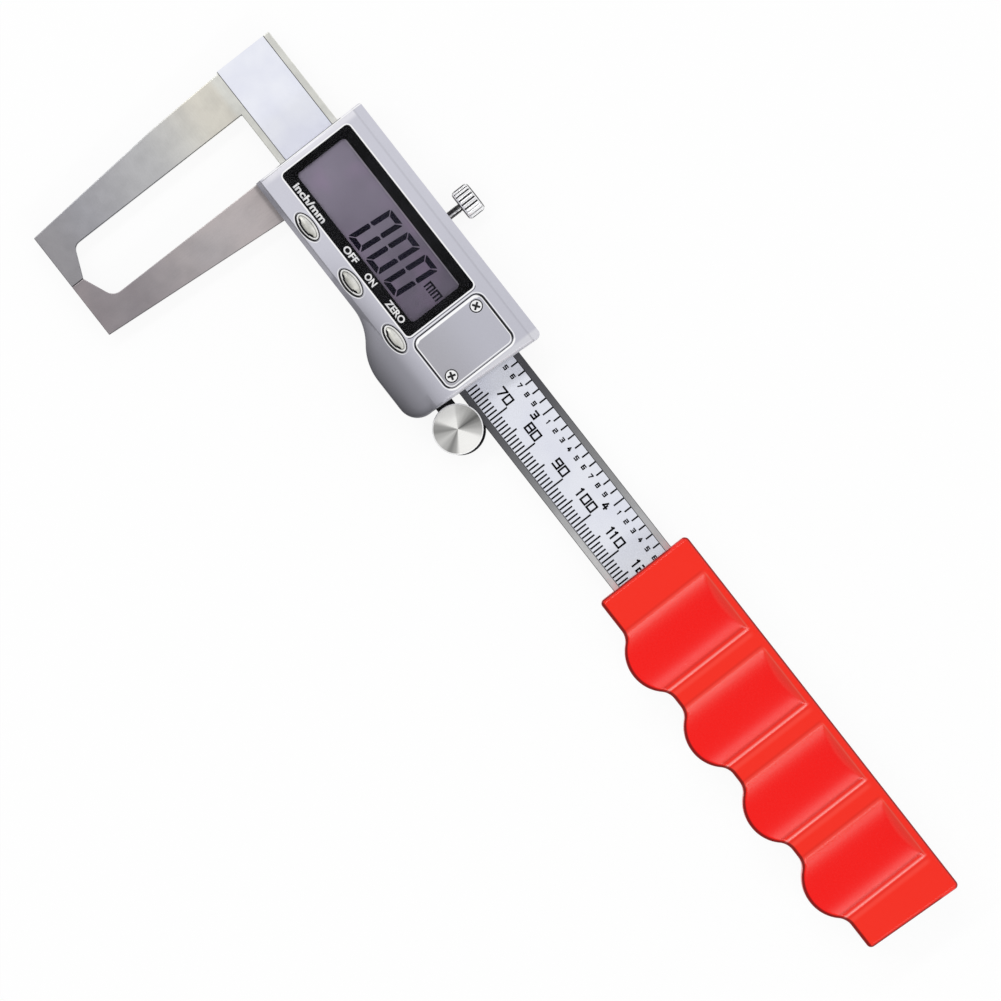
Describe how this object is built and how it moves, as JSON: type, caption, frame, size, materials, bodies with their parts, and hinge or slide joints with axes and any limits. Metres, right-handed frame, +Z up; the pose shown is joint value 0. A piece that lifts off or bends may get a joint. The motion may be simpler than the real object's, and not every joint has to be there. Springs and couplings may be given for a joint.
{
  "type": "digital brake disc caliper",
  "caption": "Digital caliper with long hooked jaws, display slider, thumb roller, lock screw and a red finger grip, for measuring the thickness of brake discs.",
  "frame": {"origin": "below the middle of the whole caliper, on the surface that it lies on", "axes": "+X along the beam towards the handle, +Y across the beam away from the jaws, +Z up out of the display"},
  "size_m": [0.2421, 0.0828, 0.016],
  "materials": {
    "beam_steel": "fine brushed stainless steel",
    "jaw_steel": "fine brushed stainless steel, slightly warmer",
    "plate_steel": "brushed stainless sheet",
    "label_foil": "satin foil with black print",
    "board_green": "solder mask",
    "red_grip": "smooth moulded red plastic, glossy",
    "silver_housing": "satin silver",
    "black_border": "black print behind the window",
    "clear_window": "clear polished pane",
    "display_grey": "reflective liquid crystal grey",
    "connector_rubber": "striped conductive rubber",
    "switch_black": "moulded",
    "button_silver": "satin silver",
    "cell_steel": "bright nickelled steel",
    "brass": "rolled",
    "screw_steel": "bright plated",
    "knurled_chrome": "bright plated, straight knurl",
    "dark_steel": "blackened spring steel",
    "roller_steel": "face turned, with a circular grain"
  },
  "bodies": {
    "beam": {"main_beam": "beam_steel", "stator_strip": "board_green", "scale_label": "label_foil", "handle": "red_grip", "handle_screws": "screw_steel"},
    "slider": {"slider_frame": "jaw_steel", "gib_strip": "brass", "gib_screws": "dark_steel", "back_plate": "plate_steel", "back_plate_screws": "screw_steel", "front_housing": "silver_housing", "window_mask": "black_border", "display_window": "clear_window", "lcd_panel": "display_grey", "lcd_connectors": "connector_rubber", "circuit_board": "board_green", "button_switches": "switch_black", "battery": "cell_steel", "negative_contact": "brass", "positive_contact": "brass", "battery_cover": "silver_housing", "battery_cover_screws": "screw_steel", "roller_bracket": "dark_steel", "roller_pin": "screw_steel"},
    "thumb_roller": {"thumb_roller": "roller_steel"},
    "lock_screw": {"lock_screw": "knurled_chrome"},
    "inch_mm_button": {"inch_mm_button": "button_silver"},
    "on_off_button": {"on_off_button": "button_silver"},
    "zero_button": {"zero_button": "button_silver"}
  },
  "joints": [
    {"name": "slider_slide", "type": "slide", "parent": "beam", "child": "slider", "axis": [1, 0, 0], "range_m": [0, 0.043]},
    {"name": "roller_spin", "type": "hinge", "parent": "slider", "child": "thumb_roller", "pos_m": [-0.0262, 0.0064, 0.00405], "axis": [0, 0, 1], "range_deg": [0, 484.1]},
    {"name": "lock_turn", "type": "hinge", "parent": "slider", "child": "lock_screw", "pos_m": [-0.06445, 0.03695, 0.00405], "axis": [0, -1, 0], "range_deg": [-360, 180]},
    {"name": "inch_mm_press", "type": "slide", "parent": "slider", "child": "inch_mm_button", "axis": [0, 0, -1], "range_m": [0, 0.0004], "stiffness_N_per_m": 800, "springref_m": -0.0002},
    {"name": "on_off_press", "type": "slide", "parent": "slider", "child": "on_off_button", "axis": [0, 0, -1], "range_m": [0, 0.0004], "stiffness_N_per_m": 800, "springref_m": -0.0002},
    {"name": "zero_press", "type": "slide", "parent": "slider", "child": "zero_button", "axis": [0, 0, -1], "range_m": [0, 0.0004], "stiffness_N_per_m": 800, "springref_m": -0.0002}
  ],
  "couplings": [
    {"joint": "roller_spin", "follows": "slider_slide", "rad_per_m": 196.08}
  ]
}
